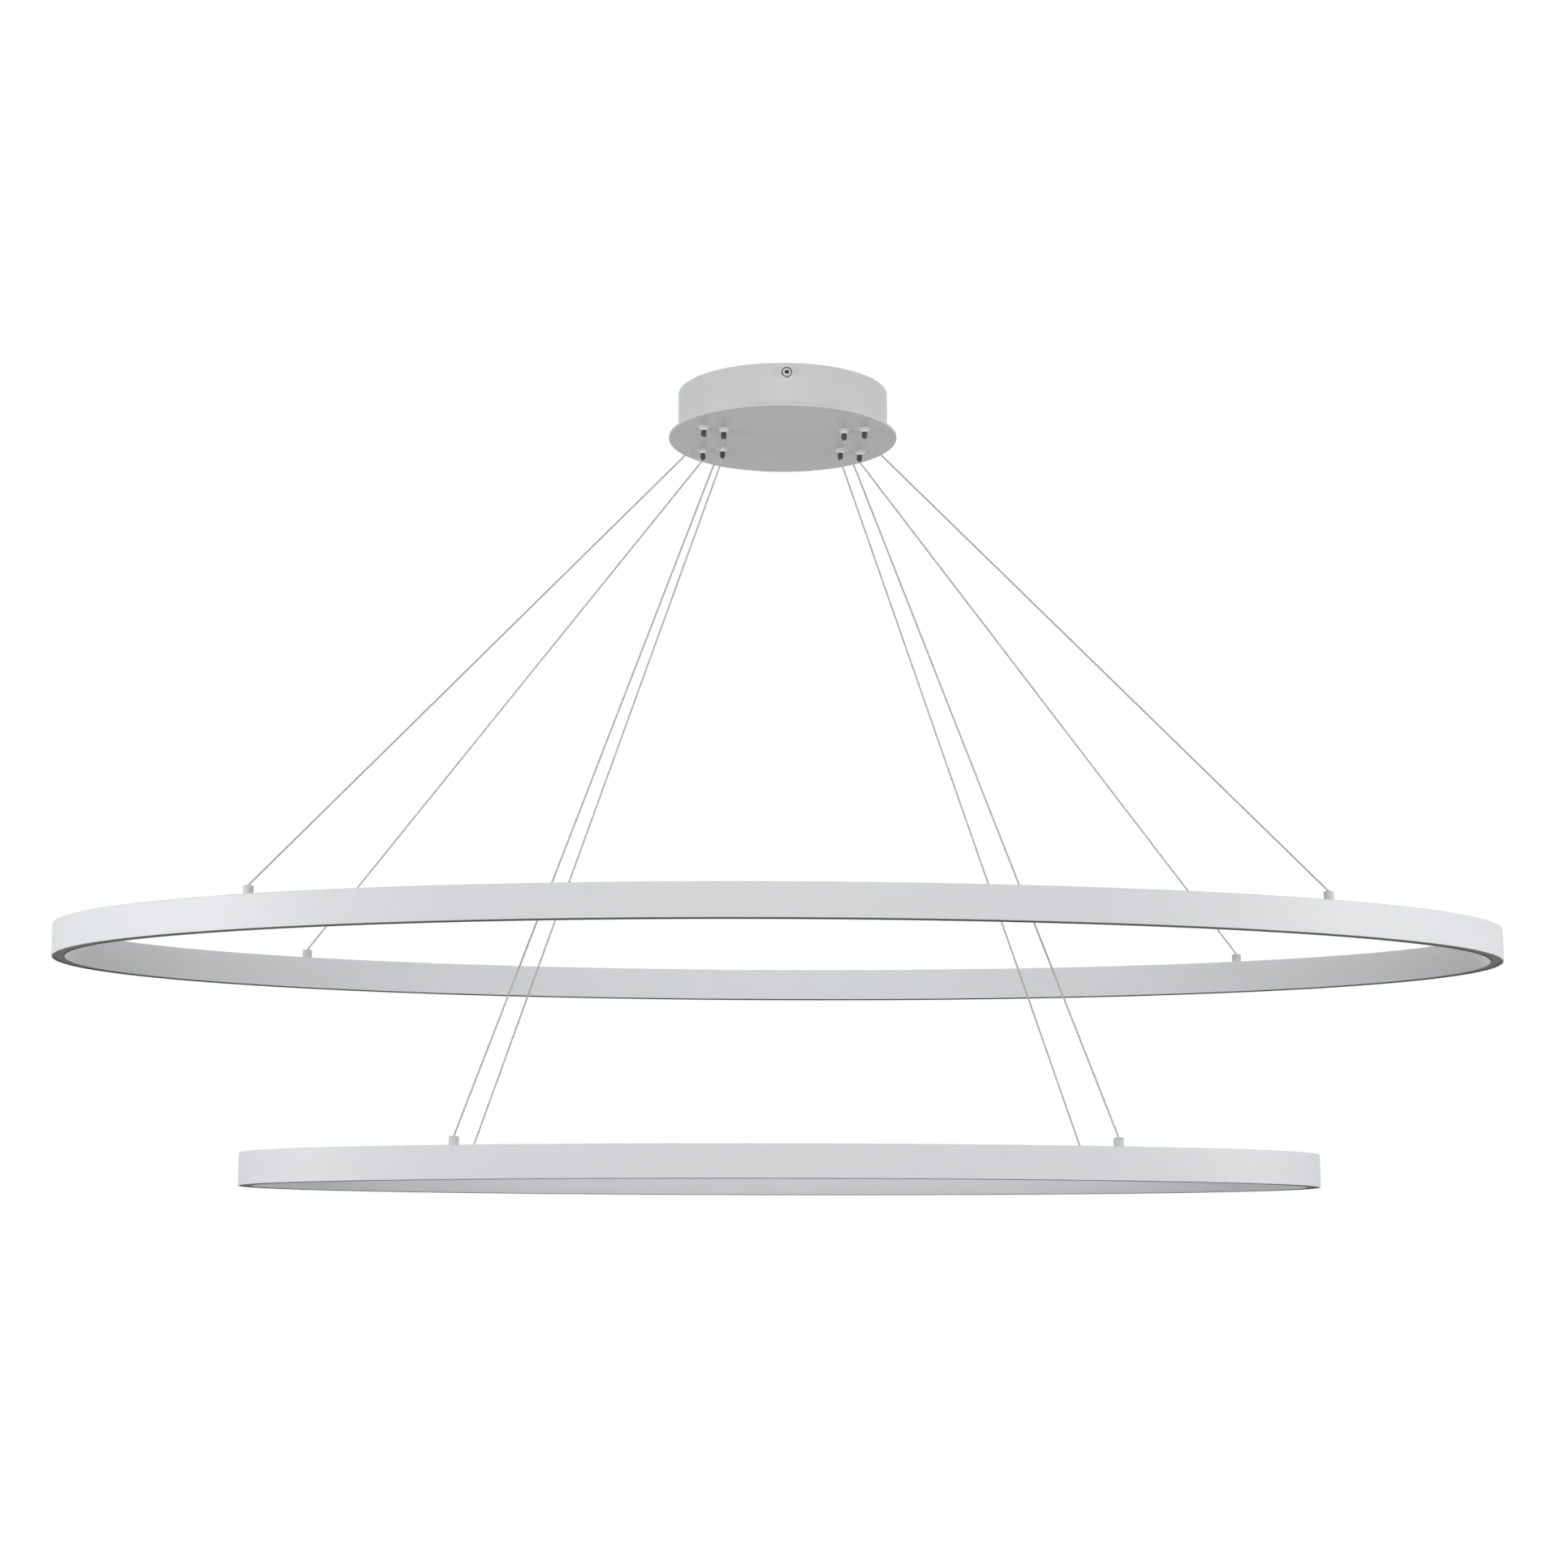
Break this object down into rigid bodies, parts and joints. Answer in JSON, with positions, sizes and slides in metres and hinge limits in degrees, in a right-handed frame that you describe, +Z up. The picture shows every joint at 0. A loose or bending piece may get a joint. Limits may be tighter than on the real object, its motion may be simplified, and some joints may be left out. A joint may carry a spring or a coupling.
{
  "type": "two-tier oval pendant lamp",
  "caption": "Pendant lamp with nested level oval light rings that hang on straight steel cables from a drum canopy on the ceiling.",
  "frame": {"origin": "centre of the ceiling bracket's slot pattern, on the ceiling plane", "axes": "+Z up into the ceiling, +X along the ovals' long axis, -Y towards the front"},
  "size_m": [1.34, 0.62, 0.754],
  "materials": {
    "white_paint": "satin",
    "white_aluminium": "matte",
    "white_screw": "satin",
    "zinc_steel": "satin",
    "steel_cable": "satin",
    "dark_nickel": "polished",
    "opal_plastic": "matte",
    "light_board": "satin",
    "driver_plastic": "matte",
    "terminal_plastic": "matte"
  },
  "bodies": {
    "canopy": {"canopy_drum": "white_paint", "canopy_plate": "white_paint", "ceiling_bracket": "zinc_steel", "canopy_side_screws": "white_screw", "driver_upper_ring": "driver_plastic", "driver_lower_ring": "driver_plastic", "driver_strap": "zinc_steel", "terminal_block": "terminal_plastic", "gripper_housings": "white_paint", "gripper_nuts": "zinc_steel", "cable_upper_front_left": "steel_cable", "cable_upper_front_right": "steel_cable", "cable_upper_back_left": "steel_cable", "cable_upper_back_right": "steel_cable", "cable_lower_front_left": "steel_cable", "cable_lower_front_right": "steel_cable", "cable_lower_back_left": "steel_cable", "cable_lower_back_right": "steel_cable"},
    "upper_ring": {"upper_ring_channel": "white_aluminium", "upper_ring_light_strip": "light_board", "upper_ring_diffuser": "opal_plastic", "upper_ring_anchors": "white_paint"},
    "lower_ring": {"lower_ring_channel": "white_aluminium", "lower_ring_light_strip": "light_board", "lower_ring_diffuser": "opal_plastic", "lower_ring_anchors": "white_paint"},
    "plunger_upper_front_left": {"plunger_upper_front_left": "dark_nickel"},
    "plunger_upper_front_right": {"plunger_upper_front_right": "dark_nickel"},
    "plunger_upper_back_left": {"plunger_upper_back_left": "dark_nickel"},
    "plunger_upper_back_right": {"plunger_upper_back_right": "dark_nickel"},
    "plunger_lower_front_left": {"plunger_lower_front_left": "dark_nickel"},
    "plunger_lower_front_right": {"plunger_lower_front_right": "dark_nickel"},
    "plunger_lower_back_left": {"plunger_lower_back_left": "dark_nickel"},
    "plunger_lower_back_right": {"plunger_lower_back_right": "dark_nickel"}
  },
  "joints": [
    {"name": "upper_ring_height", "type": "slide", "parent": "canopy", "child": "upper_ring", "axis": [0, 0, 1], "range_m": [0, 0.3], "deforming": ["cable_upper_front_left", "cable_upper_front_right", "cable_upper_back_left", "cable_upper_back_right"]},
    {"name": "lower_ring_height", "type": "slide", "parent": "canopy", "child": "lower_ring", "axis": [0, 0, 1], "range_m": [0, 0.3], "deforming": ["cable_lower_front_left", "cable_lower_front_right", "cable_lower_back_left", "cable_lower_back_right"]},
    {"name": "plunger_upper_front_left_push", "type": "slide", "parent": "canopy", "child": "plunger_upper_front_left", "axis": [0, 0, 1], "range_m": [0, 0.002], "stiffness_N_per_m": 500, "springref_m": -0.004},
    {"name": "plunger_upper_front_right_push", "type": "slide", "parent": "canopy", "child": "plunger_upper_front_right", "axis": [0, 0, 1], "range_m": [0, 0.002], "stiffness_N_per_m": 500, "springref_m": -0.004},
    {"name": "plunger_upper_back_left_push", "type": "slide", "parent": "canopy", "child": "plunger_upper_back_left", "axis": [0, 0, 1], "range_m": [0, 0.002], "stiffness_N_per_m": 500, "springref_m": -0.004},
    {"name": "plunger_upper_back_right_push", "type": "slide", "parent": "canopy", "child": "plunger_upper_back_right", "axis": [0, 0, 1], "range_m": [0, 0.002], "stiffness_N_per_m": 500, "springref_m": -0.004},
    {"name": "plunger_lower_front_left_push", "type": "slide", "parent": "canopy", "child": "plunger_lower_front_left", "axis": [0, 0, 1], "range_m": [0, 0.002], "stiffness_N_per_m": 500, "springref_m": -0.004},
    {"name": "plunger_lower_front_right_push", "type": "slide", "parent": "canopy", "child": "plunger_lower_front_right", "axis": [0, 0, 1], "range_m": [0, 0.002], "stiffness_N_per_m": 500, "springref_m": -0.004},
    {"name": "plunger_lower_back_left_push", "type": "slide", "parent": "canopy", "child": "plunger_lower_back_left", "axis": [0, 0, 1], "range_m": [0, 0.002], "stiffness_N_per_m": 500, "springref_m": -0.004},
    {"name": "plunger_lower_back_right_push", "type": "slide", "parent": "canopy", "child": "plunger_lower_back_right", "axis": [0, 0, 1], "range_m": [0, 0.002], "stiffness_N_per_m": 500, "springref_m": -0.004}
  ]
}
